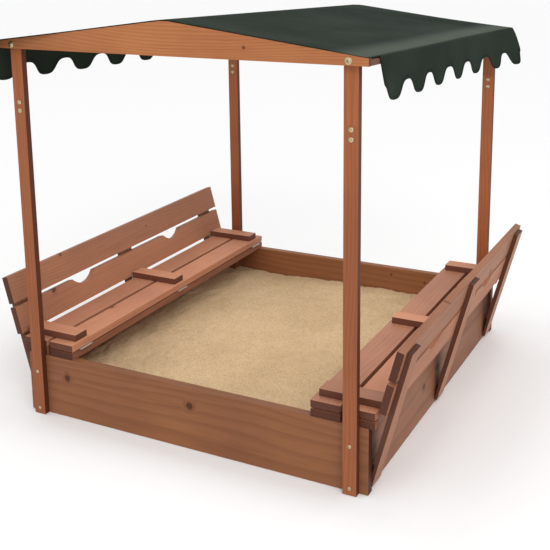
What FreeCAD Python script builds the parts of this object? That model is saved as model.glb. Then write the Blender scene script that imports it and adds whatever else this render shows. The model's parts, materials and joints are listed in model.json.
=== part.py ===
import FreeCAD, Part
import math
import os
import Sketcher

# A wooden play sandbox. Its cover is two halves that unfold into two bench seats,
# and four posts carry a fabric roof above it.
# Frame of the part, in millimetres: X runs from the left seat to the right seat,
# Y from the front to the back, Z up. The origin is on the ground at the middle.

App = FreeCAD
Vector = App.Vector

# ---------------------------------------------------------------- driving dimensions

DIMENSIONS = [
    ("box_width", 1092, "front and back walls, along X"),
    ("box_depth", 1194, "outer face of front wall to outer face of back wall"),
    ("wall_height", 184, "all four walls"),
    ("wall_thick", 25, "all four walls"),
    ("side_wall_inset", 10, "side wall's outer face from the end of the front wall"),
    ("block_side", 38, "square corner block"),
    ("block_height", 160, "corner block"),
    ("sand_depth", 100, "sand in the box"),
    ("post_width", 38, "post, along X"),
    ("post_thick", 19, "post, along Y"),
    ("post_inset", 25, "post's outer edge from the end of the wall"),
    ("post_height", 1117, "ground to the front posts' tops"),
    ("lap_low", 912, "lower end of the front posts' spliced laps"),
    ("lap_high", 959, "upper end of the front posts' spliced laps"),
    ("roof_fall", 44, "back gable and back posts' splices lower than the front ones"),
    ("gable_low", 1100, "ground to underside of the front gable"),
    ("gable_half", 552, "middle of the gable to its end"),
    ("gable_end_high", 19, "height of the gable at its ends"),
    ("gable_peak_high", 88, "height of the gable at its peak"),
    ("gable_blunt", 15, "half width of the flat on the peak"),
    ("gable_thick", 18, "gable board, along Y"),
    ("eave_width", 24, "eave rail, along X"),
    ("eave_high", 15, "eave rail, along Z"),
    ("ridge_width", 24, "ridge rail, along X"),
    ("ridge_high", 38, "ridge rail, along Z"),
    ("cloth_thick", 3, "roof cloth as modelled"),
    ("cloth_skew", 66, "cloth slipped along each eave, on the right towards the back"),
    ("cloth_slant_in", 330, "middle of the gable to where the cloth's edge leaves it"),
    ("valance_low", 1005, "ground to the tips of the valance, at the front gable"),
    ("scallop_pitch", 176, "tip to tip"),
    ("scallop_depth", 43, "tip to notch"),
    ("board_width", 83, "rim, seat and back boards"),
    ("board_thick", 20, "rim, seat and back boards"),
    ("board_gap", 12, "between the two boards of a panel"),
    ("board_end_clear", 2, "board end short of the post's inner face"),
    ("rim_overhang", 16, "outer rim board past the end of the wall"),
    ("fold_slit", 4.4, "between rim boards and seat boards"),
    ("fold_clear", 0.4, "folded seat above the walls"),
    ("fold_pin_out", 3.5, "seat hinge pin inboard of the boards"),
    ("strut_clear", 0.5, "struts off the folded seat's boards"),
    ("halves_gap", 4, "between the two folded halves"),
    ("lean", 15, "seat back from upright, in degrees"),
    ("foot_height", 10, "strut's resting corner above the ground"),
    ("foot_clear", 0.3, "strut's resting corner off the side wall"),
    ("back_pin_up", 15.6, "seat back's pin above the seat's underside"),
    ("strut_slot_play", 2, "rim board's cutout beside each strut"),
    ("cleat_width", 53, "cleat across the seat, along Y"),
    ("cleat_thick", 20, "cleat across the seat"),
    ("cleat_setback", 11, "cleat's inner end from the seat's inner edge"),
    ("cleat_overhang", 6, "cleat's outer end past the seat's outer edge"),
    ("cleat_centre", 537.5, "end cleats from the middle, along Y"),
    ("strut_width", 66, "strut behind the back, along Y"),
    ("strut_thick", 14, "strut behind the back"),
    ("strut_top_setback", 6, "strut's top below the back's top edge"),
    ("strut_centre", 538, "end struts from the middle, along Y"),
    ("relief_depth", 5.2, "step in the strut's foot that clears the hinge"),
    ("relief_length", 68, "length of that step"),
    ("notch_width", 118, "finger notch in the lower back board"),
    ("notch_depth", 26, "finger notch in the lower back board"),
    ("notch_centre", 265, "finger notch from the middle, along Y"),
    ("leaf_thick", 1.5, "hinge leaf"),
    ("leaf_width", 28, "seat hinge's leaf, from the pin outwards"),
    ("flange_high", 18, "seat back's hinge flange, across the board's edge"),
    ("seat_hinge_long", 57, "seat hinge, along Y"),
    ("back_hinge_long", 48, "seat back's hinge, along Y"),
    ("hinge_centre", 535, "end hinges from the middle, along Y"),
    ("knuckle_radius", 2.4, "hinge knuckle"),
    ("knuckle_play", 0.3, "between neighbouring knuckles"),
    ("leaf_play", 0.7, "leaf's cutaway round the other leaf's knuckle"),
    ("pin_radius", 1.2, "hinge pin"),
    ("pin_play", 0.05, "radial play of the pin"),
    ("splice_head", 6.5, "splice bolt's head, radius"),
    ("splice_upper", 947.5, "upper splice bolt, front posts"),
    ("splice_lower", 923.5, "lower splice bolt, front posts"),
    ("screw_head", 5, "post screw's head, radius"),
    ("screw_upper", 135, "upper post screw"),
    ("screw_lower", 18, "lower post screw"),
    ("gable_bolt_head", 9, "gable bolt's head, radius"),
    ("gable_bolt_up", 11, "gable bolt above the gable's underside"),
    ("head_high", 2.5, "height of every bolt and screw head"),
    ("leaf_setback", 1, "seat back's hinge flange above the board's lower face"),
    ("tip_play", 1, "end of every hole past its screw's tip"),
    ("shank_radius", 2.5, "every bolt and screw"),
    ("shank_play", 0.05, "radial play of every bolt and screw"),
    ("wall_screw_long", 60, "post screw, through the wall into the corner block"),
    ("splice_bolt_long", 18, "splice bolt"),
    ("gable_bolt_long", 36, "gable bolt"),
    ("board_screw_head", 4, "cleat and strut screw's flush head, radius"),
    ("cleat_screw_long", 34, "cleat screw's hole"),
    ("strut_screw_long", 28, "strut screw's hole"),
    ("board_screw_near", 34, "first cleat or strut screw from the board's edge"),
    ("board_screw_far", 64, "second cleat or strut screw from the same edge"),
]

doc = App.newDocument("SandboxWithCover")
sheet = doc.addObject("Spreadsheet::Sheet", "Dimensions")
for row, (alias, value, meaning) in enumerate(DIMENSIONS, start=1):
    sheet.set(f"A{row}", meaning)
    sheet.set(f"B{row}", str(value))
    sheet.setAlias(f"B{row}", alias)
doc.recompute()


def size(alias):
    """The value of one cell of the sheet."""
    return float(sheet.get(alias))


# ---------------------------------------------------------------- derived places

half_width = size("box_width") / 2
half_depth = size("box_depth") / 2
wall_inner_y = half_depth - size("wall_thick")
side_outer = half_width - size("side_wall_inset")
side_inner = side_outer - size("wall_thick")
post_outer = half_width - size("post_inset")
post_inner = post_outer - size("post_width")
post_middle = (post_outer + post_inner) / 2
post_face = half_depth + size("post_thick")
post_half_thick = size("post_thick") / 2
gable_face = post_face + size("gable_thick")

# The roof falls evenly, from the front gable's inner face to the back gable's outer face.
# A length of roof measured from the middle of the part has already fallen by mid_drop.
ROOF_SLOPE = (
    "(Dimensions.roof_fall"
    " / (Dimensions.box_depth + 2 * Dimensions.post_thick + Dimensions.gable_thick))"
)
mid_drop = size("roof_fall") * post_face / (post_face + gable_face)

board_start = size("board_end_clear") - half_depth
panel_width = 2 * size("board_width") + size("board_gap")
board_step = size("board_width") + size("board_gap")
rim_outer = half_width + size("rim_overhang")
rim_inner = rim_outer - panel_width
rim_top = size("wall_height") + size("board_thick")
seat_low = rim_top + size("fold_slit")
seat_top = seat_low + size("board_thick")

# The seat turns half a turn about this pin, from on top of the rim to inside it.
fold_x = rim_inner - size("fold_pin_out")
fold_z = rim_top + (size("fold_slit") + size("fold_clear")) / 2

# The seat back is drawn in line with the seat, as it lies when folded, and is then
# turned up about its own pin. Leaning, the foot of each strut rests on the side wall.
lean = math.radians(size("lean"))
back_low = seat_low - size("strut_clear")
pin_z = seat_low + size("back_pin_up")
rest_x = side_outer + size("foot_clear")
rest_z = size("foot_height")
face_x = rest_x - size("relief_depth") * math.cos(lean)
face_z = rest_z + size("relief_depth") * math.sin(lean)
pin_x = face_x + (back_low - pin_z + (pin_z - face_z) * math.sin(lean)) / math.cos(lean)
back_end = 2 * fold_x - size("halves_gap") / 2
back_start = back_end - panel_width
foot_x = pin_x + (rest_x - pin_x) * math.sin(lean) + (rest_z - pin_z) * math.cos(lean)
strut_low = back_low - size("strut_thick")

THREE = (("front", -1), ("middle", 0), ("back", 1))
ENDS = (("front", -1), ("back", 1))
SIDES = (("left", -1), ("right", 1))
ALONG_Y = (0, 1, 0)
ALONG_Z = (0, 0, 1)

nodes = []


# ---------------------------------------------------------------- building blocks


def keep(obj, name):
    """Names an object as one sub-part."""
    obj.Label = name
    nodes.append(obj)
    return obj


def lean_back(side):
    """The turn that raises one side's back from in line with its seat."""
    turn = App.Rotation(Vector(*ALONG_Y), side * (size("lean") - 90))
    pin = Vector(side * pin_x, 0, pin_z)
    return App.Placement(pin, turn) * App.Placement(-pin, App.Rotation())


def box(name, lows, lengths, turn=App.Placement()):
    """A box from its lowest corner. A length is an expression or a worked-out number."""
    shape = doc.addObject("Part::Box", name)
    for prop, length in zip(("Length", "Width", "Height"), lengths):
        if isinstance(length, str):
            shape.setExpression(prop, length)
        else:
            setattr(shape, prop, length)
    shape.Placement = turn * App.Placement(Vector(*lows), App.Rotation())
    return shape


def cylinder(name, radius, length, start, axis, turn=App.Placement()):
    """A cylinder from the middle of one end, its sizes bound to the sheet."""
    shape = doc.addObject("Part::Cylinder", name)
    shape.setExpression("Radius", radius)
    shape.setExpression("Height", length)
    along = App.Rotation(Vector(*ALONG_Z), Vector(*axis))
    shape.Placement = turn * App.Placement(Vector(*start), along)
    return shape


def fuse(name, shapes):
    """The union of some shapes."""
    joined = doc.addObject("Part::MultiFuse", name)
    joined.Shapes = shapes
    return joined


def cut(name, base, tools):
    """One shape with others cut away."""
    result = doc.addObject("Part::Cut", name)
    result.Base = base
    result.Tool = fuse(f"{name}_cutter", tools) if len(tools) > 1 else tools[0]
    return result


def group(name, shapes):
    """Separate identical solids that share one node."""
    several = doc.addObject("Part::Compound", name)
    several.Links = shapes
    return keep(several, name)


def low_x(side, near, far):
    """The lowest X of a stretch given as it runs on the right-hand side."""
    return near if side > 0 else -far


def cells(*names):
    """Expressions that read whole cells of the sheet."""
    return [f"Dimensions.{name}" for name in names]


def fastener(name, start, axis, head, length, turn=App.Placement()):
    """A screw or bolt. Its head stands on the surface and its shank goes along axis."""
    back = Vector(*start) - Vector(*axis) * size("head_high")
    cap = cylinder(f"{name}_head", head, "Dimensions.head_high", back, axis, turn)
    shank = cylinder(f"{name}_shank", "Dimensions.shank_radius", length, start, axis, turn)
    return fuse(name, [cap, shank])


def drill(name, start, axis, length, turn=App.Placement()):
    """The hole that one fastener runs in."""
    radius = "Dimensions.shank_radius + Dimensions.shank_play"
    return cylinder(name, radius, length, start, axis, turn)


def taper(name, play, start, axis, turn):
    """A flush screw's head, or with some play the countersink that it sits in."""
    shape = doc.addObject("Part::Cone", name)
    shape.setExpression("Radius1", f"Dimensions.board_screw_head + {play}")
    shape.setExpression("Radius2", f"Dimensions.shank_radius + {play}")
    shape.setExpression("Height", "Dimensions.head_high")
    along = App.Rotation(Vector(*ALONG_Z), Vector(*axis))
    shape.Placement = turn * App.Placement(Vector(*start), along)
    return shape


def flush_screw(name, start, axis, hole_length, turn=App.Placement()):
    """A screw whose head ends level with the surface it enters."""
    head = taper(f"{name}_head", 0, start, axis, turn)
    length = f"{hole_length} - Dimensions.tip_play"
    shank = cylinder(f"{name}_shank", "Dimensions.shank_radius", length, start, axis, turn)
    return fuse(name, [head, shank])


def make_sketch(body, name, role):
    """A sketch on one of its body's own planes."""
    sketch = body.newObject("Sketcher::SketchObject", name)
    plane = next(f for f in body.Origin.OriginFeatures if f.Role == role)
    sketch.AttachmentSupport = [(plane, "")]
    sketch.MapMode = "FlatFace"
    return sketch


def outline(sketch, points):
    """A closed outline through points given as pairs of expressions."""
    places = []
    for across, up in points:
        x, y = (float(sketch.evalExpression(text)) for text in (across, up))
        places.append(Vector(x, y, 0))
    count = len(places)
    for i, start in enumerate(places):
        sketch.addGeometry(Part.LineSegment(start, places[(i + 1) % count]), False)
    for i in range(count):
        joint = Sketcher.Constraint("Coincident", i, 2, (i + 1) % count, 1)
        sketch.addConstraint(joint)
    for i, (across, up) in enumerate(points):
        for kind, value, text in (
            ("DistanceX", places[i].x, across),
            ("DistanceY", places[i].y, up),
        ):
            held = Sketcher.Constraint(kind, -1, 1, i, 1, value)
            sketch.setExpression(f"Constraints[{sketch.addConstraint(held)}]", text)


def pad(body, sketch, length):
    """A pad equally to both sides of its sketch."""
    feature = body.newObject("PartDesign::Pad", f"{sketch.Name}_pad")
    feature.Profile = sketch
    feature.Midplane = True
    feature.setExpression("Length", length)
    return feature


def falling_pad(body, sketch, length):
    """A pad to both sides of its sketch that falls with the roof towards the back."""
    feature = pad(body, sketch, length)
    feature.UseCustomVector = True
    feature.AlongSketchNormal = True
    feature.Direction = Vector(*ALONG_Y)
    feature.setExpression("Direction.z", f"-{ROOF_SLOPE}")
    body.Placement.Base = Vector(0, 0, -mid_drop)


def pocket(body, sketch, length, both_ways=True, reverse=False):
    """A pocket to both sides of its sketch, or to one of them."""
    feature = body.newObject("PartDesign::Pocket", f"{sketch.Name}_pocket")
    feature.Profile = sketch
    feature.Midplane = both_ways
    feature.Reversed = reverse
    feature.setExpression("Length", length)


# ---------------------------------------------------------------- box


def wall_screw_places(end):
    """Where the screws of one end's two posts enter, and which way they go."""
    for side_name, side in SIDES:
        for level in ("screw_upper", "screw_lower"):
            place = (side * post_middle, end * post_face, size(level))
            yield f"{side_name}_{level}", place, (0, -end, 0)


wall_screws = []
for end_name, end in ENDS:
    low_y = half_depth - size("wall_thick") if end > 0 else -half_depth
    wall = box(
        f"wall_{end_name}_board",
        (-half_width, low_y, 0),
        cells("box_width", "wall_thick", "wall_height"),
    )
    holes = []
    for place_name, place, axis in wall_screw_places(end):
        label = f"{end_name}_{place_name}"
        holes.append(drill(f"wall_hole_{label}", place, axis, "Dimensions.wall_screw_long"))
        wall_screws.append(
            fastener(
                f"wall_screw_{label}",
                place,
                axis,
                "Dimensions.screw_head",
                "Dimensions.wall_screw_long - Dimensions.tip_play",
            )
        )
    keep(cut(f"wall_{end_name}", wall, holes), f"wall_{end_name}")

for side_name, side in SIDES:
    wall = box(
        f"wall_{side_name}",
        (low_x(side, side_inner, side_outer), -wall_inner_y, 0),
        (
            "Dimensions.wall_thick",
            "Dimensions.box_depth - 2 * Dimensions.wall_thick",
            "Dimensions.wall_height",
        ),
    )
    keep(wall, f"wall_{side_name}")

blocks = []
for end_name, end in ENDS:
    for side_name, side in SIDES:
        low_y = wall_inner_y - size("block_side") if end > 0 else -wall_inner_y
        block = box(
            f"block_{end_name}_{side_name}",
            (low_x(side, side_inner - size("block_side"), side_inner), low_y, 0),
            cells("block_side", "block_side", "block_height"),
        )
        holes = [
            drill(f"block_hole_{end_name}_{place_name}", place, axis, "Dimensions.wall_screw_long")
            for place_name, place, axis in wall_screw_places(end)
            if place_name.startswith(side_name)
        ]
        blocks.append(cut(f"drilled_block_{end_name}_{side_name}", block, holes))
group("corner_blocks", blocks)
group("post_wall_screws", wall_screws)

# The sand stands clear of the corner blocks, so it is one slab notched at its corners.
sand_slab = box(
    "sand_slab",
    (-side_inner, -wall_inner_y, 0),
    (
        "Dimensions.box_width - 2 * (Dimensions.side_wall_inset + Dimensions.wall_thick)",
        "Dimensions.box_depth - 2 * Dimensions.wall_thick",
        "Dimensions.sand_depth",
    ),
)
sand_corners = []
for end_name, end in ENDS:
    for side_name, side in SIDES:
        low_y = wall_inner_y - size("block_side") if end > 0 else -wall_inner_y
        sand_corners.append(
            box(
                f"sand_corner_{end_name}_{side_name}",
                (low_x(side, side_inner - size("block_side"), side_inner), low_y, 0),
                cells("block_side", "block_side", "sand_depth"),
            )
        )
keep(cut("sand_fill", sand_slab, sand_corners), "sand_fill")

# ---------------------------------------------------------------- rim boards

strut_lows = {
    name: place * size("strut_centre") - size("strut_width") / 2 for name, place in THREE
}
board_lengths = (
    "Dimensions.board_width",
    "Dimensions.box_depth - 2 * Dimensions.board_end_clear",
    "Dimensions.board_thick",
)
for side_name, side in SIDES:
    inner = box(
        f"rim_{side_name}_inner",
        (low_x(side, rim_inner, rim_inner + size("board_width")), board_start, size("wall_height")),
        board_lengths,
    )
    keep(inner, f"rim_{side_name}_inner")
    outer = box(
        f"rim_{side_name}_outer_board",
        (low_x(side, rim_inner + board_step, rim_outer), board_start, size("wall_height")),
        board_lengths,
    )
    cutouts = [
        box(
            f"rim_{side_name}_cutout_{name}",
            (
                low_x(side, side_outer, rim_outer),
                low - size("strut_slot_play"),
                size("wall_height"),
            ),
            (
                "Dimensions.side_wall_inset + Dimensions.rim_overhang",
                "Dimensions.strut_width + 2 * Dimensions.strut_slot_play",
                "Dimensions.board_thick",
            ),
        )
        for name, low in strut_lows.items()
    ]
    keep(cut(f"rim_{side_name}_outer", outer, cutouts), f"rim_{side_name}_outer")

# ---------------------------------------------------------------- posts and roof frame

splice_bolts = []
gable_bolts = []
gable_holes = {"front": [], "back": []}
LAP_HIGH = "Dimensions.lap_high - Dimensions.lap_low"
for end_name, end in ENDS:
    lowered = 1 if end > 0 else 0
    drop = lowered * size("roof_fall")
    near_y = half_depth if end > 0 else -post_face
    into = (0, -end, 0)
    for side_name, side in SIDES:
        corner = f"{end_name}_{side_name}"
        left_x = low_x(side, post_inner, post_outer)

        # Every lap has the lower piece in front, and its bolts enter from the front.
        splice_holes = []
        for level in ("splice_upper", "splice_lower"):
            place = (side * post_middle, near_y, size(level) - drop)
            splice_holes.append((f"{corner}_{level}", place))
            splice_bolts.append(
                fastener(
                    f"splice_bolt_{corner}_{level}",
                    place,
                    ALONG_Y,
                    "Dimensions.splice_head",
                    "Dimensions.splice_bolt_long",
                )
            )
        gable_place = (
            side * post_middle,
            end * gable_face,
            size("gable_low") + size("gable_bolt_up") - drop,
        )
        gable_bolts.append(
            fastener(
                f"gable_bolt_{corner}",
                gable_place,
                into,
                "Dimensions.gable_bolt_head",
                "Dimensions.gable_bolt_long",
            )
        )
        gable_long = "Dimensions.gable_bolt_long + Dimensions.post_thick"
        gable_holes[end_name].append(
            drill(f"gable_hole_{corner}", gable_place, into, gable_long)
        )

        lower = box(
            f"post_{corner}_lower_bar",
            (left_x, near_y, 0),
            (
                "Dimensions.post_width",
                "Dimensions.post_thick",
                f"Dimensions.lap_high - {lowered} * Dimensions.roof_fall",
            ),
        )
        lower_cuts = [
            box(
                f"post_{corner}_lower_lap",
                (left_x, near_y + post_half_thick, size("lap_low") - drop),
                ("Dimensions.post_width", "Dimensions.post_thick / 2", LAP_HIGH),
            )
        ]
        for label, place in splice_holes:
            hole = drill(f"lower_hole_{label}", place, ALONG_Y, "Dimensions.post_thick")
            lower_cuts.append(hole)
        for place_name, place, axis in wall_screw_places(end):
            if place_name.startswith(side_name):
                hole = drill(
                    f"post_wall_hole_{end_name}_{place_name}", place, axis, "Dimensions.post_thick"
                )
                lower_cuts.append(hole)
        keep(cut(f"post_{corner}_lower", lower, lower_cuts), f"post_{corner}_lower")

        upper = box(
            f"post_{corner}_upper_bar",
            (left_x, near_y, size("lap_low") - drop),
            (
                "Dimensions.post_width",
                "Dimensions.post_thick",
                "Dimensions.post_height - Dimensions.lap_low",
            ),
        )
        upper_cuts = [
            box(
                f"post_{corner}_upper_lap",
                (left_x, near_y, size("lap_low") - drop),
                ("Dimensions.post_width", "Dimensions.post_thick / 2", LAP_HIGH),
            ),
            drill(f"post_gable_hole_{corner}", gable_place, into, gable_long),
        ]
        for label, place in splice_holes:
            hole = drill(f"upper_hole_{label}", place, ALONG_Y, "Dimensions.post_thick")
            upper_cuts.append(hole)
        keep(cut(f"post_{corner}_upper", upper, upper_cuts), f"post_{corner}_upper")
group("splice_bolts", splice_bolts)
group("gable_bolts", gable_bolts)

GABLE_OUTLINE = [
    ("-Dimensions.gable_half", "Dimensions.gable_low"),
    ("Dimensions.gable_half", "Dimensions.gable_low"),
    ("Dimensions.gable_half", "Dimensions.gable_low + Dimensions.gable_end_high"),
    ("Dimensions.gable_blunt", "Dimensions.gable_low + Dimensions.gable_peak_high"),
    ("-Dimensions.gable_blunt", "Dimensions.gable_low + Dimensions.gable_peak_high"),
    ("-Dimensions.gable_half", "Dimensions.gable_low + Dimensions.gable_end_high"),
]
for end_name, end in ENDS:
    body = doc.addObject("PartDesign::Body", f"gable_{end_name}_board")
    sketch = make_sketch(body, f"gable_{end_name}_outline", "XZ_Plane")
    outline(sketch, GABLE_OUTLINE)
    pad(body, sketch, "Dimensions.gable_thick")
    drop = size("roof_fall") if end > 0 else 0
    body.Placement.Base = Vector(0, end * (post_face + size("gable_thick") / 2), -drop)
    keep(cut(f"gable_{end_name}", body, gable_holes[end_name]), f"gable_{end_name}")

RAIL_LONG = "Dimensions.box_depth + 2 * Dimensions.post_thick"


def rail(name, near, far, low, high):
    """A rail from gable to gable, from the four sides of its section."""
    body = doc.addObject("PartDesign::Body", name)
    sketch = make_sketch(body, f"{name}_section", "XZ_Plane")
    outline(sketch, [(near, low), (far, low), (far, high), (near, high)])
    falling_pad(body, sketch, RAIL_LONG)
    keep(body, name)


for side_name, side in SIDES:
    rail(
        f"eave_rail_{side_name}",
        f"{side} * (Dimensions.gable_half - Dimensions.eave_width)",
        f"{side} * Dimensions.gable_half",
        "Dimensions.gable_low",
        "Dimensions.gable_low + Dimensions.eave_high",
    )
rail(
    "ridge_rail",
    "-Dimensions.ridge_width / 2",
    "Dimensions.ridge_width / 2",
    "Dimensions.gable_low + Dimensions.gable_peak_high - Dimensions.ridge_high",
    "Dimensions.gable_low + Dimensions.gable_peak_high",
)

# ---------------------------------------------------------------- roof cloth

EAVE = "Dimensions.gable_half"
OUTSIDE = "(Dimensions.gable_half + Dimensions.cloth_thick)"
EAVE_TOP = "Dimensions.gable_low + Dimensions.gable_end_high"
PEAK_TOP = "Dimensions.gable_low + Dimensions.gable_peak_high"
cloth = doc.addObject("PartDesign::Body", "roof_cloth")
section = make_sketch(cloth, "cloth_section", "XZ_Plane")
outline(
    section,
    [
        (OUTSIDE, "Dimensions.valance_low"),
        (OUTSIDE, f"{EAVE_TOP} + Dimensions.cloth_thick"),
        ("Dimensions.gable_blunt", f"{PEAK_TOP} + Dimensions.cloth_thick"),
        ("-Dimensions.gable_blunt", f"{PEAK_TOP} + Dimensions.cloth_thick"),
        (f"-{OUTSIDE}", f"{EAVE_TOP} + Dimensions.cloth_thick"),
        (f"-{OUTSIDE}", "Dimensions.valance_low"),
        (f"-{EAVE}", "Dimensions.valance_low"),
        (f"-{EAVE}", EAVE_TOP),
        ("-Dimensions.gable_blunt", PEAK_TOP),
        ("Dimensions.gable_blunt", PEAK_TOP),
        (EAVE, EAVE_TOP),
        (EAVE, "Dimensions.valance_low"),
    ],
)
CLOTH_HALF = "(Dimensions.box_depth / 2 + Dimensions.post_thick + Dimensions.gable_thick)"
CLOTH_REACH = f"({CLOTH_HALF} + Dimensions.cloth_skew + Dimensions.cloth_thick)"
BEYOND = f"({CLOTH_REACH} + Dimensions.cloth_thick)"
falling_pad(cloth, section, f"2 * {CLOTH_REACH}")

# The cloth's edge follows each gable, and near one eave it slants out past the gable, on
# the right at the back and on the left at the front.
for end_name, end in ENDS:
    sketch = make_sketch(cloth, f"cloth_edge_{end_name}", "XY_Plane")
    outline(
        sketch,
        [
            (f"-{end} * ({OUTSIDE} + Dimensions.cloth_thick)", f"{end} * {CLOTH_HALF}"),
            (f"{end} * Dimensions.cloth_slant_in", f"{end} * {CLOTH_HALF}"),
            (
                f"{end} * {OUTSIDE}",
                f"{end} * ({CLOTH_HALF} + Dimensions.cloth_skew)",
            ),
            (f"{end} * ({OUTSIDE} + Dimensions.cloth_thick)", f"{end} * {BEYOND}"),
            (f"-{end} * ({OUTSIDE} + Dimensions.cloth_thick)", f"{end} * {BEYOND}"),
        ],
    )
    pocket(cloth, sketch, "4 * Dimensions.post_height")

# Seven lobes hang along each eave. Each gap between lobes is an arch with steep sides,
# and each end slants from the outer lobe up to the eave.
NOTCH_TOP = "Dimensions.valance_low + Dimensions.scallop_depth"
LOWER_LIP = "Dimensions.valance_low - Dimensions.cloth_thick"
lobes = 7
half_arch_steps = 4
arch_steepness = 1.6


def hang(across, up):
    """A point of the valance's outline, moved down by the roof's fall."""
    return across, f"{up} - {ROOF_SLOPE} * ({across})"


def arch_half(middle, way):
    """One half of a gap, from its foot on one side nearly to its top in the middle."""
    points = [hang(f"{middle} + {way * 0.5} * Dimensions.scallop_pitch", LOWER_LIP)]
    for i in range(half_arch_steps):
        share = 0.5 - 0.5 * i / half_arch_steps
        wave = math.tanh(arch_steepness * math.cos(2 * math.pi * share))
        rise = 0.5 + 0.5 * wave / math.tanh(arch_steepness)
        across = f"{middle} + {way * share:.5f} * Dimensions.scallop_pitch"
        up = f"Dimensions.valance_low + {rise:.5f} * Dimensions.scallop_depth"
        points.append(hang(across, up))
    return points


def gap_points(middle):
    """The outline of the gap between two lobes."""
    top = hang(middle, NOTCH_TOP)
    return arch_half(middle, -1) + [top] + arch_half(middle, 1)[::-1]


def end_points(side, end):
    """The outline of what is cut off one end of one valance."""
    middle = f"{side} * Dimensions.cloth_skew + {end * lobes / 2} * Dimensions.scallop_pitch"
    corner = f"{side} * Dimensions.cloth_skew + {end} * ({CLOTH_HALF} - Dimensions.cloth_thick)"
    return arch_half(middle, -end)[:-1] + [
        hang(corner, EAVE_TOP),
        hang(f"{end} * {BEYOND}", EAVE_TOP),
        hang(f"{end} * {BEYOND}", LOWER_LIP),
    ]


for side_name, side in SIDES:
    cutters = [end_points(side, -1), end_points(side, 1)]
    for i in range(lobes - 1):
        place = f"{i + 1 - lobes / 2} * Dimensions.scallop_pitch"
        cutters.append(gap_points(f"{side} * Dimensions.cloth_skew + {place}"))
    for i, points in enumerate(cutters):
        sketch = make_sketch(cloth, f"valance_{side_name}_gap_{i}", "YZ_Plane")
        outline(sketch, points)
        pocket(cloth, sketch, "Dimensions.box_width", both_ways=False, reverse=side > 0)
keep(cloth, "canopy_cloth")

# ---------------------------------------------------------------- seats and backs


def screw_places(first_x, side, centre):
    """Where two boards' screws enter: two in each board at each of three places."""
    for name, place in THREE:
        for board in (0, 1):
            for across in (size("board_screw_near"), size("board_screw_far")):
                x = side * (first_x + board * board_step + across)
                yield f"{name}_{board}_{across:.0f}", name, board, (x, place * size(centre))


def screwed(name, base, places, height, length, turn=App.Placement()):
    """A board or batten with the holes its screws run in, countersunk where they enter."""
    holes = []
    for label, _, _, place in places:
        start = (*place, height)
        holes.append(drill(f"{name}_hole_{label}", start, ALONG_Z, length, turn))
        play = "Dimensions.shank_play"
        holes.append(taper(f"{name}_countersink_{label}", play, start, ALONG_Z, turn))
    return keep(cut(name, base, holes), name)


def hinge_half(name, leaf, pin, centre, length_alias, has_pin, turn=App.Placement()):
    """Half a hinge. One half has the outer knuckles and the pin, the other the middle."""
    long = size(length_alias)
    third = long / 3
    start = centre * size("hinge_centre") - long / 2
    own, other = ((0, 2), (1,)) if has_pin else ((1,), (0, 2))
    clearances = [
        cylinder(
            f"{name}_clear_{i}",
            "Dimensions.knuckle_radius + Dimensions.leaf_play",
            f"Dimensions.{length_alias} / 3",
            (pin[0], start + i * third, pin[1]),
            ALONG_Y,
            turn,
        )
        for i in other
    ]
    knuckles = [
        cylinder(
            f"{name}_knuckle_{i}",
            "Dimensions.knuckle_radius",
            f"Dimensions.{length_alias} / 3 - Dimensions.knuckle_play",
            (pin[0], start + i * third + size("knuckle_play") / 2, pin[1]),
            ALONG_Y,
            turn,
        )
        for i in own
    ]
    plate = cut(f"{name}_plate", leaf, clearances)
    place = (pin[0], start, pin[1])
    whole = f"Dimensions.{length_alias}"
    if has_pin:
        rod = cylinder(f"{name}_pin", "Dimensions.pin_radius", whole, place, ALONG_Y, turn)
        return fuse(name, [plate, rod] + knuckles)
    radius = "Dimensions.pin_radius + Dimensions.pin_play"
    bore = cylinder(f"{name}_bore", radius, whole, place, ALONG_Y, turn)
    return cut(name, fuse(f"{name}_solid", [plate] + knuckles), [bore])


def flanged_leaf(name, side, low, board_edge, centre, turn=App.Placement()):
    """A leaf of the seat back's hinge: a flange on a board's edge and a neck to the pin."""
    start = centre * size("hinge_centre") - size("back_hinge_long") / 2
    inward = board_edge < pin_x
    face = board_edge if inward else board_edge - size("leaf_thick")
    flange = box(
        f"{name}_flange",
        (low_x(side, face, face + size("leaf_thick")), start, low),
        cells("leaf_thick", "back_hinge_long", "flange_high"),
        turn,
    )
    near, far = sorted((board_edge, pin_x))
    neck = box(
        f"{name}_neck",
        (low_x(side, near, far), start, pin_z - size("leaf_thick") / 2),
        [far - near, *cells("back_hinge_long", "leaf_thick")],
        turn,
    )
    return fuse(f"{name}_leaf", [flange, neck])


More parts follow.
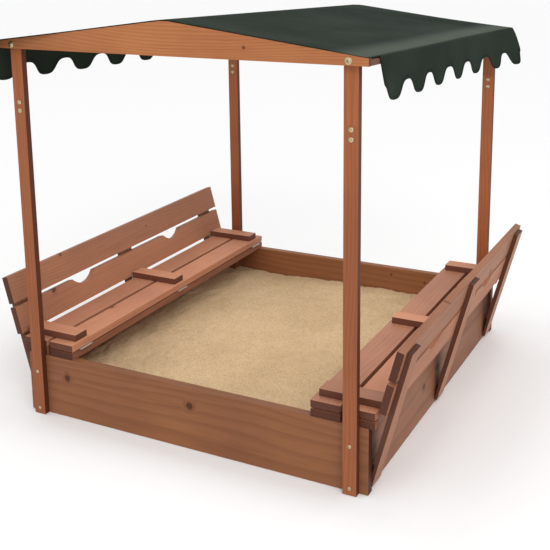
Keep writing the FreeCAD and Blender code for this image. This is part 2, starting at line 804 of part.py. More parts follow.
for side_name, side in SIDES:
    # Seat: two boards joined by three cleats, screwed from below.
    seat_screws = list(screw_places(rim_inner, side, "cleat_centre"))
    screw_hole = "Dimensions.cleat_screw_long"
    for number, which in ((0, "inner"), (1, "outer")):
        near = rim_inner + number * board_step
        name = f"seat_{side_name}_{which}_board"
        board = box(
            f"{name}_blank",
            (low_x(side, near, near + size("board_width")), board_start, seat_low),
            board_lengths,
        )
        places = [entry for entry in seat_screws if entry[2] == number]
        screwed(name, board, places, seat_low, screw_hole)
    cleat_low_x = rim_inner + size("cleat_setback")
    cleat_high_x = rim_outer + size("cleat_overhang")
    for place_name, place in THREE:
        name = f"seat_{side_name}_cleat_{place_name}"
        low_y = place * size("cleat_centre") - size("cleat_width") / 2
        cleat = box(
            f"{name}_blank",
            (low_x(side, cleat_low_x, cleat_high_x), low_y, seat_top),
            (
                "2 * Dimensions.board_width + Dimensions.board_gap"
                " + Dimensions.cleat_overhang - Dimensions.cleat_setback",
                "Dimensions.cleat_width",
                "Dimensions.cleat_thick",
            ),
        )
        places = [entry for entry in seat_screws if entry[1] == place_name]
        screwed(name, cleat, places, seat_low, screw_hole)
    group(
        f"seat_{side_name}_cleat_screws",
        [
            flush_screw(f"seat_{side_name}_screw_{label}", (*place, seat_low), ALONG_Z, screw_hole)
            for label, _, _, place in seat_screws
        ],
    )

    # Seat hinges: one leaf on top of the rim, the other on the seat's underside.
    for which, leaf_low, has_pin in (
        ("rim", rim_top, True),
        ("seat", seat_low - size("leaf_thick"), False),
    ):
        halves = []
        for place_name, place in THREE:
            name = f"seat_hinge_{side_name}_{which}_{place_name}"
            leaf = box(
                f"{name}_leaf",
                (
                    low_x(side, fold_x, fold_x + size("leaf_width")),
                    place * size("hinge_centre") - size("seat_hinge_long") / 2,
                    leaf_low,
                ),
                cells("leaf_width", "seat_hinge_long", "leaf_thick"),
            )
            pin = (side * fold_x, fold_z)
            halves.append(hinge_half(name, leaf, pin, place, "seat_hinge_long", has_pin))
        group(f"seat_hinge_{side_name}_{which}_leaves", halves)

    # Seat back: two boards joined by three struts that reach down past the seat. Its
    # screws enter the struts from behind.
    turn = lean_back(side)
    back_screws = list(screw_places(back_start, side, "strut_centre"))
    strut_hole = "Dimensions.strut_screw_long"
    for number, which in ((0, "lower"), (1, "upper")):
        near = back_start + number * board_step
        name = f"back_{side_name}_{which}_board"
        board = box(
            f"{name}_blank",
            (low_x(side, near, near + size("board_width")), board_start, back_low),
            board_lengths,
            turn,
        )
        if which == "lower":
            radius = "(Dimensions.notch_width ^ 2 / 4 + Dimensions.notch_depth ^ 2)"
            radius += " / (2 * Dimensions.notch_depth)"
            notch_radius = float(sheet.evalExpression(radius))
            middle_x = side * (near + size("board_width") - size("notch_depth") + notch_radius)
            notches = [
                cylinder(
                    f"{name}_notch_{end_name}",
                    radius,
                    "Dimensions.board_thick",
                    (middle_x, end * size("notch_centre"), back_low),
                    ALONG_Z,
                    turn,
                )
                for end_name, end in ENDS
            ]
            board = cut(f"{name}_notched", board, notches)
        places = [entry for entry in back_screws if entry[2] == number]
        screwed(name, board, places, strut_low, strut_hole, turn)
    strut_end = back_end - size("strut_top_setback")
    for place_name, place in THREE:
        name = f"back_{side_name}_strut_{place_name}"
        low_y = place * size("strut_centre") - size("strut_width") / 2
        strut = box(
            f"{name}_blank",
            (low_x(side, foot_x, strut_end), low_y, strut_low),
            [strut_end - foot_x, *cells("strut_width", "strut_thick")],
            turn,
        )
        relief = box(
            f"{name}_relief",
            (
                low_x(side, foot_x, foot_x + size("relief_length")),
                low_y,
                back_low - size("relief_depth"),
            ),
            cells("relief_length", "strut_width", "relief_depth"),
            turn,
        )
        stepped = cut(f"{name}_stepped", strut, [relief])
        places = [entry for entry in back_screws if entry[1] == place_name]
        screwed(name, stepped, places, strut_low, strut_hole, turn)
    group(
        f"back_{side_name}_strut_screws",
        [
            flush_screw(
                f"back_{side_name}_screw_{label}", (*place, strut_low), ALONG_Z, strut_hole, turn
            )
            for label, _, _, place in back_screws
        ],
    )

    # Seat back's hinges, between the seat's outer edge and the back's lower edge.
    for which, low, board_edge, has_pin, half_turn in (
        ("seat", seat_low + size("leaf_setback"), rim_outer, True, App.Placement()),
        ("back", back_low + size("leaf_setback"), back_start, False, turn),
    ):
        halves = []
        for place_name, place in THREE:
            name = f"back_hinge_{side_name}_{which}_{place_name}"
            leaf = flanged_leaf(name, side, low, board_edge, place, half_turn)
            pin = (side * pin_x, pin_z)
            halves.append(
                hinge_half(name, leaf, pin, place, "back_hinge_long", has_pin, half_turn)
            )
        group(f"back_hinge_{side_name}_{which}_leaves", halves)

# ---------------------------------------------------------------- check and export

doc.recompute()
for obj in doc.Objects:
    if "Invalid" in obj.State or "Error" in obj.State:
        raise RuntimeError(f"{obj.Name} did not rebuild: {obj.State}")
os.makedirs("parts", exist_ok=True)
for node in nodes:
    shape = node.Shape
    if shape.isNull() or not shape.isValid() or not shape.Solids:
        raise RuntimeError(f"{node.Label} is not a closed, valid solid")
    shape.exportStep(f"parts/{node.Label}.step")
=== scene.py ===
import json
import math
import random

import bmesh
import bpy
import numpy as np
from mathutils import Matrix, Vector, noise

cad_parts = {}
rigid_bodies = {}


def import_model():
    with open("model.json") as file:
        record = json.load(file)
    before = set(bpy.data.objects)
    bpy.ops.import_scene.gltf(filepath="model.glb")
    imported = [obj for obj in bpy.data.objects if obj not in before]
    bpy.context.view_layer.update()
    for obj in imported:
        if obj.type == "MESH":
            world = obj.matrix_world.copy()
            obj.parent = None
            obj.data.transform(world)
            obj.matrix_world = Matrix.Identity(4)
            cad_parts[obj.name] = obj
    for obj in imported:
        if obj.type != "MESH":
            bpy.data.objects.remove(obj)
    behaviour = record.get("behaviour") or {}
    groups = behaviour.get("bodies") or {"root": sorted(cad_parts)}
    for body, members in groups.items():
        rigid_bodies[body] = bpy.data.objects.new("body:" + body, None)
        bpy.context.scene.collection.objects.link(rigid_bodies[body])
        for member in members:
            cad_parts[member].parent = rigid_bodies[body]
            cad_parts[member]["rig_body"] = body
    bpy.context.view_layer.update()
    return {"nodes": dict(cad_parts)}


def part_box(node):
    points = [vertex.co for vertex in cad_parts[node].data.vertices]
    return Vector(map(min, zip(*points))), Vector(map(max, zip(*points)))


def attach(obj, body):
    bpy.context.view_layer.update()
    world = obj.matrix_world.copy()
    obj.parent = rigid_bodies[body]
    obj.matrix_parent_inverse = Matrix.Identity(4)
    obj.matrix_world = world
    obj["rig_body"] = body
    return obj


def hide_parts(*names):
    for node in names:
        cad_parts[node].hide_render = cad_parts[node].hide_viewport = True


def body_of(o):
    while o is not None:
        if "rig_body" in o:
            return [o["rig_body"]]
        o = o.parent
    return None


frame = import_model()
nodes = frame["nodes"]
scene = bpy.context.scene
scene.view_settings.view_transform = "Standard"


def linear(red, green, blue, alpha=1.0):
    """A display colour from 0 to 255 as the linear values that shaders use."""
    values = []
    for value in (red, green, blue):
        share = value / 255
        values.append(share / 12.92 if share <= 0.04045 else ((share + 0.055) / 1.055) ** 2.4)
    return (*values, alpha)


# ------------------------------------------------------------------ camera

# The focal length and sensor are in millimetres, the shift in picture widths, the place in
# metres and the three turns in radians.
FOCAL = 63.798
SENSOR = 36
SHIFT = (0.01044, -0.22727)
PLACE = Vector((1.36470, -2.68686, 1.38973))
YAW, PITCH, ROLL = 0.48033, -0.21486, -0.01321
NEAREST, FARTHEST = 0.05, 60


def make_camera():
    """The camera, at the photograph's viewing angle."""
    forward = Vector(
        (
            -math.sin(YAW) * math.cos(PITCH),
            math.cos(YAW) * math.cos(PITCH),
            math.sin(PITCH),
        )
    )
    level = Vector((math.cos(YAW), math.sin(YAW), 0))
    upright = level.cross(forward)
    right = level * math.cos(ROLL) + upright * math.sin(ROLL)
    up = upright * math.cos(ROLL) - level * math.sin(ROLL)
    turn = Matrix((right, up, -forward)).transposed()
    data = bpy.data.cameras.new("camera")
    data.lens = FOCAL
    data.sensor_width = SENSOR
    data.shift_x, data.shift_y = SHIFT
    data.clip_start, data.clip_end = NEAREST, FARTHEST
    camera = bpy.data.objects.new("camera", data)
    camera.matrix_world = Matrix.Translation(PLACE) @ turn.to_4x4()
    scene.collection.objects.link(camera)
    scene.camera = camera


make_camera()

# ------------------------------------------------------------------ materials' nodes


class Nodes:
    """A short way to write one material's node tree."""

    def __init__(self, name):
        self.material = bpy.data.materials.new(name)
        self.material.use_nodes = True
        self.tree = self.material.node_tree
        self.shader = self.tree.nodes["Principled BSDF"]

    def add(self, kind, inputs=None, **settings):
        node = self.tree.nodes.new(kind)
        for key, value in settings.items():
            setattr(node, key, value)
        for key, value in (inputs or {}).items():
            self.put(node.inputs[key], value)
        return node

    def put(self, socket, value):
        if isinstance(value, bpy.types.NodeSocket):
            self.tree.links.new(value, socket)
        else:
            socket.default_value = value

    def math(self, operation, *values):
        node = self.add("ShaderNodeMath", operation=operation)
        for i, value in enumerate(values):
            self.put(node.inputs[i], value)
        return node.outputs[0]

    def steps(self, value, low, high, start=0.0, end=1.0):
        """A smooth step from start to end as value goes from low to high."""
        node = self.add(
            "ShaderNodeMapRange",
            {"Value": value, "From Min": low, "From Max": high, "To Min": start, "To Max": end},
            interpolation_type="SMOOTHSTEP",
        )
        return node.outputs["Result"]

    def mix(self, share, first, second):
        node = self.add("ShaderNodeMix", data_type="RGBA")
        self.put(node.inputs["Factor"], share)
        self.put(node.inputs[6], first)
        self.put(node.inputs[7], second)
        return node.outputs[2]

    def noise(self, vector, scale, detail, roughness=0.5):
        node = self.add(
            "ShaderNodeTexNoise",
            {"Vector": vector, "Scale": scale, "Detail": detail, "Roughness": roughness},
        )
        return node.outputs["Fac"]

    def stretch(self, vector, scale):
        node = self.add("ShaderNodeVectorMath", operation="MULTIPLY")
        self.put(node.inputs[0], vector)
        node.inputs[1].default_value = scale
        return node.outputs[0]

    def bump(self, height, strength, distance):
        node = self.add(
            "ShaderNodeBump", {"Height": height, "Strength": strength, "Distance": distance}
        )
        return node.outputs["Normal"]

    def put_shader(self, **values):
        for key, value in values.items():
            self.put(self.shader.inputs[key.replace("_", " ")], value)


# ------------------------------------------------------------------ floor and light

FLOOR_HALF = 30
FLOOR_DROP = 0.001


def make_floor():
    """A plain pale floor, just below the ground that the sandbox stands on."""
    made = Nodes("studio_floor")
    made.put_shader(Base_Color=linear(250, 250, 250), Roughness=0.9)
    made.shader.inputs["Specular IOR Level"].default_value = 0.1
    corners = [(-1, -1), (1, -1), (1, 1), (-1, 1)]
    mesh = bpy.data.meshes.new("studio_floor")
    mesh.from_pydata([(x * FLOOR_HALF, y * FLOOR_HALF, 0) for x, y in corners], [], [range(4)])
    mesh.materials.append(made.material)
    floor = bpy.data.objects.new("studio_floor", mesh)
    floor.location.z = -FLOOR_DROP
    scene.collection.objects.link(floor)


def make_world():
    """Even white light from all round."""
    world = bpy.data.worlds.new("studio")
    world.use_nodes = True
    light = world.node_tree.nodes["Background"].inputs
    light["Color"].default_value = (1, 1, 1, 1)
    light["Strength"].default_value = 1.0
    scene.world = world


def area_light(name, place, target, size, power):
    """A square lamp that lights the scene but isn't seen itself."""
    data = bpy.data.lights.new(name, "AREA")
    data.energy = power
    data.shape = "SQUARE"
    data.size = size
    lamp = bpy.data.objects.new(name, data)
    lamp.location = place
    lamp.rotation_mode = "QUATERNION"
    lamp.rotation_quaternion = (Vector(target) - Vector(place)).to_track_quat("-Z", "Y")
    lamp.visible_camera = False
    scene.collection.objects.link(lamp)


make_floor()
make_world()
area_light("key", place=(2.6, -3.2, 3.6), target=(0, 0, 0.3), size=2.0, power=60)
area_light("under_roof", place=(0, 0, 1.02), target=(0, 0, 0), size=0.8, power=4.5)

# ------------------------------------------------------------------ wood

AXES = {"X": 0, "Y": 1, "Z": 2}

# Knots: cells for each metre of board, and lengths in metres.
KNOT_CELLS = 6.5
KNOT_SMALL, KNOT_LARGE = 0.0025, 0.009
KNOT_WOBBLE = 0.006
KNOT_PUSH = 0.007

# Growth rings: how many to a metre, and where their heart lies from the board's middle.
RINGS_FEW, RINGS_MANY = 120, 175
HEART_SIDE = 0.05
HEART_NEAR, HEART_FAR = 0.035, 0.09
RING_SWAY = 0.12
RING_BEND = 0.003

# How often a pattern changes in a metre along the grain and in a metre across it.
SWAYS = (1.1, 5.0, 5.0)
BENDS = (4.0, 40.0, 40.0)
STREAKS = (2.2, 70.0, 70.0)
FIBRES = (12.0, 520.0, 520.0)

# Each board takes its own chances from its number, so no two boards are alike.
SEED_STEP = 7919
wood_count = 0


def glaze(tone, *shares):
    """The colour of a tone's glaze where it lies thinner or thicker."""
    return linear(*(min(value * share, 255) for value, share in zip(tone, shares)))


def leaning(made, vector, angle):
    """A vector turned back by a leaning board's angle."""
    node = made.add("ShaderNodeVectorRotate", rotation_type="Y_AXIS")
    made.put(node.inputs["Vector"], vector)
    node.inputs["Angle"].default_value = angle
    return node.outputs[0]


def knot_marks(made, board, flat, knots):
    """Where the knots are. Returns the distance in knot sizes, the core, the rim, the halo."""
    wobble = made.noise(board, 30.0, 2.0)
    cells = made.add(
        "ShaderNodeTexVoronoi",
        {"Vector": flat, "Scale": KNOT_CELLS, "Randomness": 1.0},
        voronoi_dimensions="2D",
    )
    cell_split = made.add("ShaderNodeSeparateColor", {"Color": cells.outputs["Color"]})
    span = made.math("DIVIDE", cells.outputs["Distance"], KNOT_CELLS)
    uneven = made.math("MULTIPLY", made.math("SUBTRACT", wobble, 0.5), KNOT_WOBBLE)
    span = made.math("ADD", span, uneven)
    present = made.math("GREATER_THAN", cell_split.outputs["Red"], 1 - knots)
    size = made.steps(cell_split.outputs["Green"], 0.0, 1.0, KNOT_SMALL, KNOT_LARGE)
    share = made.math("DIVIDE", span, size)
    core = made.math("MULTIPLY", made.steps(share, 1.15, 0.85), present)
    rim = made.math("MULTIPLY", made.steps(share, 1.35, 1.0), present)
    halo = made.math("MULTIPLY", made.steps(share, 3.2, 0.9), present)
    return share, core, rim, halo


def growth_rings(made, board, v, w, halo, chance):
    """The dark part of each growth ring, round a heart off to one side of the board."""
    slow = made.noise(made.stretch(board, SWAYS), 1.0, 2.0, 0.4)
    heart_v = chance.uniform(-HEART_SIDE, HEART_SIDE)
    heart_w = chance.choice((-1, 1)) * chance.uniform(HEART_NEAR, HEART_FAR)
    sway = made.math("MULTIPLY", made.math("SUBTRACT", slow, 0.5), RING_SWAY)
    off_v = made.math("SUBTRACT", made.math("ADD", v, sway), heart_v)
    off_w = made.math("SUBTRACT", w, heart_w)
    squares = (made.math("MULTIPLY", off_v, off_v), made.math("MULTIPLY", off_w, off_w))
    radius = made.math("SQRT", made.math("ADD", *squares))
    radius = made.math("ADD", radius, made.math("MULTIPLY", halo, KNOT_PUSH))
    fine_bend = made.noise(made.stretch(board, BENDS), 1.0, 2.0)
    radius = made.math("ADD", radius, made.math("MULTIPLY", fine_bend, RING_BEND))
    count = chance.uniform(RINGS_FEW, RINGS_MANY)
    ring = made.math("FRACT", made.math("MULTIPLY", radius, count))
    return made.math("MULTIPLY", made.steps(ring, 0.35, 0.86), made.steps(ring, 1.0, 0.9))


def wood(name, tone, along, across, tilt=0.0, knots=0.3, contrast=0.6, narrow=0.0):
    """Glazed softwood. Its grain runs along one axis, and across is the wider side.

    narrow is how much darker the board's narrow sides are, from thicker glaze and painted shade."""
    global wood_count
    wood_count += 1
    chance = random.Random(wood_count * SEED_STEP)
    made = Nodes(f"wood_{name}")
    place = made.add("ShaderNodeTexCoord")
    point = place.outputs["Object"]
    normal = place.outputs["Normal"]
    if tilt:
        point = leaning(made, point, tilt)
        normal = leaning(made, normal, tilt)
    through = ({"X", "Y", "Z"} - {along, across}).pop()
    split = made.add("ShaderNodeSeparateXYZ", {"Vector": point})
    u, v, w = (split.outputs[AXES[axis]] for axis in (along, across, through))
    u = made.math("ADD", u, chance.uniform(-50, 50))
    v = made.math("ADD", v, chance.uniform(-0.4, 0.4) * 0.1)
    seed = chance.uniform(-40, 40)
    board = made.add("ShaderNodeCombineXYZ", {"X": u, "Y": v, "Z": w}).outputs[0]
    flat = made.add("ShaderNodeCombineXYZ", {"X": u, "Y": made.math("ADD", v, seed)}).outputs[0]
    share, core, rim, halo = knot_marks(made, board, flat, knots)
    late = growth_rings(made, board, v, w, halo, chance)

    # Fibres, streaks and the glaze's uneven depth.
    fibre = made.noise(made.stretch(board, FIBRES), 1.0, 3.0, 0.6)
    streak = made.noise(made.stretch(board, STREAKS), 1.0, 3.0, 0.55)
    cloud = made.noise(board, chance.uniform(2.2, 3.4), 3.0, 0.55)
    bright = chance.uniform(0.93, 1.06)
    tone = [value * bright for value in tone]
    deep = glaze(tone, 0.73, 0.62, 0.55)
    pale = glaze(tone, 1.13, 1.14, 1.12)
    colour = made.mix(made.steps(cloud, 0.25, 0.75), linear(*tone), pale)
    colour = made.mix(made.math("MULTIPLY", late, 0.42 * contrast), colour, deep)
    streaks = made.math("MULTIPLY", made.steps(streak, 0.5, 0.85), 0.45 * contrast)
    colour = made.mix(streaks, colour, deep)
    fibres = made.math("MULTIPLY", made.steps(fibre, 0.45, 0.8), 0.28)
    colour = made.mix(fibres, colour, deep)

    # Knots: amber wood round a dark rim, and rings inside it.
    colour = made.mix(made.math("MULTIPLY", halo, 0.45), colour, glaze(tone, 0.8, 0.6, 0.48))
    knot_rim = glaze(tone, 0.42, 0.36, 0.34)
    knot_core = glaze(tone, 0.62, 0.54, 0.5)
    colour = made.mix(made.math("MULTIPLY", rim, 0.6), colour, knot_rim)
    knot_rings = made.math("FRACT", made.math("MULTIPLY", share, 3.0))
    knot_colour = made.mix(made.steps(knot_rings, 0.2, 0.9), knot_core, knot_rim)
    colour = made.mix(made.math("MULTIPLY", core, 0.7), colour, knot_colour)

    # End grain drinks more of the glaze. The narrow sides are darker from thicker glaze and
    # painted shade.
    facing = made.add("ShaderNodeSeparateXYZ", {"Vector": normal}).outputs
    ends = made.steps(made.math("ABSOLUTE", facing[AXES[along]]), 0.75, 0.95)
    sides = made.steps(made.math("ABSOLUTE", facing[AXES[across]]), 0.75, 0.95)
    # Painted shade on the narrow sides, together with their thicker glaze.
    side_glaze_and_shade = glaze(tone, 0.52, 0.42, 0.4)
    colour = made.mix(made.math("MULTIPLY", sides, narrow), colour, side_glaze_and_shade)
    end_base = glaze(tone, 0.56, 0.46, 0.42)
    end_late = (*(0.55 * value for value in end_base[:3]), 1)
    pores = made.noise(board, 900.0, 2.0)
    end_colour = made.mix(made.math("MULTIPLY", late, 0.6), end_base, end_late)
    end_colour = made.mix(made.math("MULTIPLY", pores, 0.25), end_colour, knot_rim)
    colour = made.mix(ends, colour, end_colour)

    height = made.math("ADD", made.math("MULTIPLY", fibre, 0.5), made.math("MULTIPLY", late, 0.35))
    height = made.math("SUBTRACT", height, made.math("MULTIPLY", rim, 0.4))
    made.put_shader(
        Base_Color=colour,
        Roughness=made.steps(streak, 0.2, 0.9, 0.48, 0.66),
        Normal=made.bump(height, 0.35, 0.0008),
    )
    made.shader.inputs["Specular IOR Level"].default_value = 0.22
    return made.material


def dress(node_name, material, bevel=0.0016):
    """Gives a CAD node its material, and slightly rounded edges if it has a bevel."""
    obj = nodes[node_name]
    obj.data.materials.clear()
    obj.data.materials.append(material)
    for face in obj.data.polygons:
        face.use_smooth = True
    if bevel:
        edges = obj.modifiers.new("rounded_edges", "BEVEL")
        edges.width = bevel
        edges.segments = 2
        edges.limit_method = "ANGLE"
        edges.angle_limit = math.radians(40)
        edges.harden_normals = True
    else:
        edges = obj.modifiers.new("flat_faces", "EDGE_SPLIT")
        edges.split_angle = math.radians(30)


# The glazes' tones, as display colours, and how far the benches' backs lean out.
GABLE = (156, 98, 60)
POST = (145, 84, 52)
WALL = (128, 82, 53)
SIDE_WALL = (142, 96, 72)
SEAT = (172, 118, 92)
BACK = (152, 102, 76)
RIM = (150, 98, 74)
LEAN = math.radians(15)

for end in ("front", "back"):
    dress(f"wall_{end}", wood(f"wall_{end}", WALL, "X", "Z", knots=0.4))
    dress(f"gable_{end}", wood(f"gable_{end}", GABLE, "X", "Z", knots=0.2))
    for side in ("left", "right"):
        for part in ("lower", "upper"):
            name = f"post_{end}_{side}_{part}"
            dress(name, wood(name, POST, "Z", "X", knots=0.15, narrow=0.9))
dress("corner_blocks", wood("corner_blocks", WALL, "Z", "X"))
dress("ridge_rail", wood("ridge_rail", POST, "Y", "Z"))
for side, sign in (("left", -1), ("right", 1)):
    dress(f"wall_{side}", wood(f"wall_{side}", SIDE_WALL, "Y", "Z", knots=0.3))
    dress(f"eave_rail_{side}", wood(f"eave_rail_{side}", RIM, "Y", "X", narrow=0.8))
    for which in ("inner", "outer"):
        name = f"rim_{side}_{which}"
        dress(name, wood(name, RIM, "Y", "X", narrow=0.3))
        name = f"seat_{side}_{which}_board"
        dress(name, wood(name, SEAT, "Y", "X", knots=0.2, contrast=0.35, narrow=0.2))
    lean = sign * LEAN
    for which in ("lower", "upper"):
        name = f"back_{side}_{which}_board"
        dress(name, wood(name, BACK, "Y", "Z", tilt=-lean, knots=0.3, contrast=0.5))
    for where in ("front", "middle", "back"):
        name = f"seat_{side}_cleat_{where}"
        dress(name, wood(name, SEAT, "X", "Y", knots=0.1, contrast=0.35, narrow=0.9))
        name = f"back_{side}_strut_{where}"
        dress(name, wood(name, BACK, "Z", "Y", tilt=-lean, knots=0.1, contrast=0.4, narrow=0.9))

# ------------------------------------------------------------------ metal


def metal(name, tone, roughness):
    """Zinc plate, with a fine spangle and smears of different gloss."""
    made = Nodes(name)
    point = made.add("ShaderNodeTexCoord").outputs["Object"]
    spangle = made.noise(point, 700.0, 2.0)
    smear = made.noise(point, 90.0, 3.0)
    light = linear(*tone)
    dull = linear(*(0.72 * value for value in tone))
    colour = made.mix(made.steps(spangle, 0.3, 0.75), light, dull)
    made.put_shader(
        Base_Color=colour,
        Roughness=made.steps(smear, 0.2, 0.8, roughness - 0.08, roughness + 0.12),
        Normal=made.bump(spangle, 0.2, 0.0002),
        Metallic=1.0,
    )
    return made.material


zinc = metal("zinc_plate", (205, 202, 192), 0.36)
brassy = metal("yellow_zinc_plate", (214, 198, 160), 0.34)
bronzed = metal("bronzed_zinc_plate", (176, 124, 94), 0.55)

for side in ("left", "right"):
    for name in (
        f"seat_hinge_{side}_rim_leaves",
        f"seat_hinge_{side}_seat_leaves",
        f"back_hinge_{side}_seat_leaves",
        f"back_hinge_{side}_back_leaves",
    ):
        dress(name, zinc, bevel=0)


def islands(mesh):
    """The separate pieces of a mesh, each as an array of its points."""
    spots = [tuple(round(value, 5) for value in vertex.co) for vertex in mesh.vertices]
    parent = {spot: spot for spot in spots}

    def root(spot):
        while parent[spot] != spot:
            parent[spot] = parent[parent[spot]]
            spot = parent[spot]
        return spot

    for edge in mesh.edges:
        a, b = (root(spots[i]) for i in edge.vertices)
        parent[a] = b
    groups = {}
    for spot in parent:
        groups.setdefault(root(spot), []).append(spot)
    return [np.array(points) for _, points in sorted(groups.items())]


# Screws and bolts, in metres. A slot's size is a share of its head's.
HEAD_HIGH = 0.0025
SHANK_RADIUS = 0.0025
HEAD_STEPS, SHANK_STEPS = 32, 10
CROWN_RINGS = 9
SLOT_LONG = 0.62
SLOT_WIDE = 0.24
FLUSH_SLOT_DEEP = 0.0012


def add_lathe(mesh, profile, steps, place, axis, slot_radius=0.0, slot_depth=0.0):
    """Turns a profile of (radius, height) round an axis, with a cross slot in its top."""
    side = axis.orthogonal().normalized()
    other = axis.cross(side)
    rings = []
    for radius, height in profile:
        ring = []
        for i in range(steps):
            angle = 2 * math.pi * i / steps
            x, y = radius * math.cos(angle), radius * math.sin(angle)
            long, short = max(abs(x), abs(y)), min(abs(x), abs(y))
            in_slot = long < slot_radius and short < SLOT_WIDE * slot_radius
            sunk = slot_depth if in_slot else 0.0
            point = place + side * x + other * y + axis * (height - sunk)
            ring.append(mesh.verts.new(point))
        rings.append(ring)
    for low, high in zip(rings, rings[1:]):
        for i in range(steps):
            k = (i + 1) % steps
            mesh.faces.new((low[i], low[k], high[k], high[i]))
    mesh.faces.new(rings[-1])
    mesh.faces.new(list(reversed(rings[0])))


def crown_shares():
    """The radii of the rings over a head's top, as shares of the head's radius."""
    return [1 - i / (CROWN_RINGS + 0.5) for i in range(CROWN_RINGS + 1)]


def domed_profile(radius, dome):
    """A round head, from its edge up over its crown."""
    profile = [(radius, 0.0), (radius, dome * 0.2), (radius * 0.97, dome * 0.42)]
    for share in crown_shares()[1:]:
        profile.append((radius * share * 0.93, dome * (0.5 + 0.5 * (1 - share**2) ** 0.8)))
    return profile


def flush_profile(radius):
    """A countersunk head, from its shank up and across its level top."""
    top = HEAD_HIGH - 0.0002
    profile = [(SHANK_RADIUS, 0.0), (radius, HEAD_HIGH - 0.0004)]
    return profile + [(radius * share, top) for share in crown_shares()]


def washer_profile(radius):
    """A flat washer with a rounded outer edge."""
    return [(radius, 0.0), (radius, 0.0009), (radius * 0.96, 0.0013), (radius * 0.3, 0.0013)]


def screw_line(points):
    """The top of a CAD screw, its direction out through its head, its length and radius."""
    middle = points.mean(axis=0)
    _, _, directions = np.linalg.svd(points - middle, full_matrices=False)
    axis = directions[0]
    along = (points - middle) @ axis
    across = np.linalg.norm((points - middle) - np.outer(along, axis), axis=1)
    near_end = 1e-3
    low_end = across[along < along.min() + near_end].max()
    high_end = across[along > along.max() - near_end].max()
    if low_end > high_end:
        axis, along = -axis, -along
    axis = Vector([float(value) for value in axis])
    top = Vector([float(value) for value in middle]) + axis * float(along.max())
    return top, axis, float(along.max() - along.min()), float(across.max())


def screw_heads(node_name, material, domed=0.0, washer=0.0):
    """Heads with a cross slot, on their shanks, where the CAD's screws are.

    domed is a round head's height, and washer its radius, as shares of the CAD head's. A
    head that isn't domed is flush, and tapers down to its shank."""
    source = nodes[node_name]
    body = body_of(source)
    body = body[0] if isinstance(body, list) else body
    mesh = bmesh.new()
    for points in islands(source.data):
        top, axis, length, radius = screw_line(points)
        seat = top - axis * HEAD_HIGH
        shank = [(SHANK_RADIUS, HEAD_HIGH - length), (SHANK_RADIUS, 0.0)]
        add_lathe(mesh, shank, SHANK_STEPS, seat, axis)
        if washer:
            add_lathe(mesh, washer_profile(radius), HEAD_STEPS, seat, axis)
            radius *= washer
        if domed:
            dome = domed * HEAD_HIGH
            profile, deep = domed_profile(radius, dome), dome * 0.45
        else:
            profile, deep = flush_profile(radius), FLUSH_SLOT_DEEP
        add_lathe(mesh, profile, HEAD_STEPS, seat, axis, radius * SLOT_LONG, deep)
    data = bpy.data.meshes.new(f"{node_name}_detail")
    mesh.to_mesh(data)
    mesh.free()
    for face in data.polygons:
        face.use_smooth = True
    data.materials.append(material)
    piece = bpy.data.objects.new(f"{node_name}_detail", data)
    scene.collection.objects.link(piece)
    edges = piece.modifiers.new("crisp_edges", "EDGE_SPLIT")
    edges.split_angle = math.radians(50)
    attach(piece, body)
    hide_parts(node_name)


screw_heads("splice_bolts", brassy, 1.0)
screw_heads("post_wall_screws", brassy, 0.9)
screw_heads("gable_bolts", brassy, 1.6, washer=0.6)
for side in ("left", "right"):
    screw_heads(f"seat_{side}_cleat_screws", bronzed)
    screw_heads(f"back_{side}_strut_screws", bronzed)

# ------------------------------------------------------------------ sand

# The sand's grid, and lengths in metres: its edge off the walls, its lowest level below the
# CAD slab's top, and its underside above the slab's.
SAND_COLUMNS, SAND_ROWS = 300, 330
SAND_CLEAR = 0.0006
SAND_SETTLED = 0.003
SAND_LIFT = 0.001


def sand_material():
    """Pale sand with dark and light grains, and patches of different colour."""
    made = Nodes("play_sand")
    point = made.add("ShaderNodeTexCoord").outputs["Object"]
    grains = made.add("ShaderNodeTexVoronoi", {"Vector": point, "Scale": 650.0}).outputs
    tint = made.add("ShaderNodeSeparateColor", {"Color": grains["Color"]}).outputs["Red"]
    coarse = made.noise(point, 60.0, 4.0, 0.65)
    patches = made.noise(point, 5.0, 3.0, 0.6)
    colour = made.mix(
        made.steps(patches, 0.3, 0.7), linear(226, 194, 152), linear(212, 180, 138)
    )
    colour = made.mix(
        made.math("MULTIPLY", made.steps(coarse, 0.5, 0.8), 0.4), colour, linear(180, 146, 106)
    )
    colour = made.mix(
        made.math("MULTIPLY", made.steps(tint, 0.78, 0.95), 0.55), colour, linear(118, 92, 70)
    )
    colour = made.mix(
        made.math("MULTIPLY", made.steps(tint, 0.2, 0.03), 0.5), colour, linear(236, 218, 190)
    )
    rough = made.math(
        "ADD", made.math("MULTIPLY", coarse, 0.7), made.math("MULTIPLY", grains["Distance"], 0.5)
    )
    made.put_shader(Base_Color=colour, Roughness=0.95, Normal=made.bump(rough, 0.8, 0.004))
    made.shader.inputs["Specular IOR Level"].default_value = 0.15
    return made.material


def hills(x, y):
    """The sand's height above its lowest level: soft heaps with small dents."""
    big = noise.fractal(Vector((x * 2.2, y * 2.2, 3.1)), 0.9, 2.0, 3)
    small = noise.fractal(Vector((x * 9.0, y * 9.0, 7.7)), 0.8, 2.2, 4)
    tiny = noise.fractal(Vector((x * 38.0, y * 38.0, 1.3)), 0.7, 2.0, 3)
    return 0.011 * big + 0.006 * small + 0.0022 * tiny


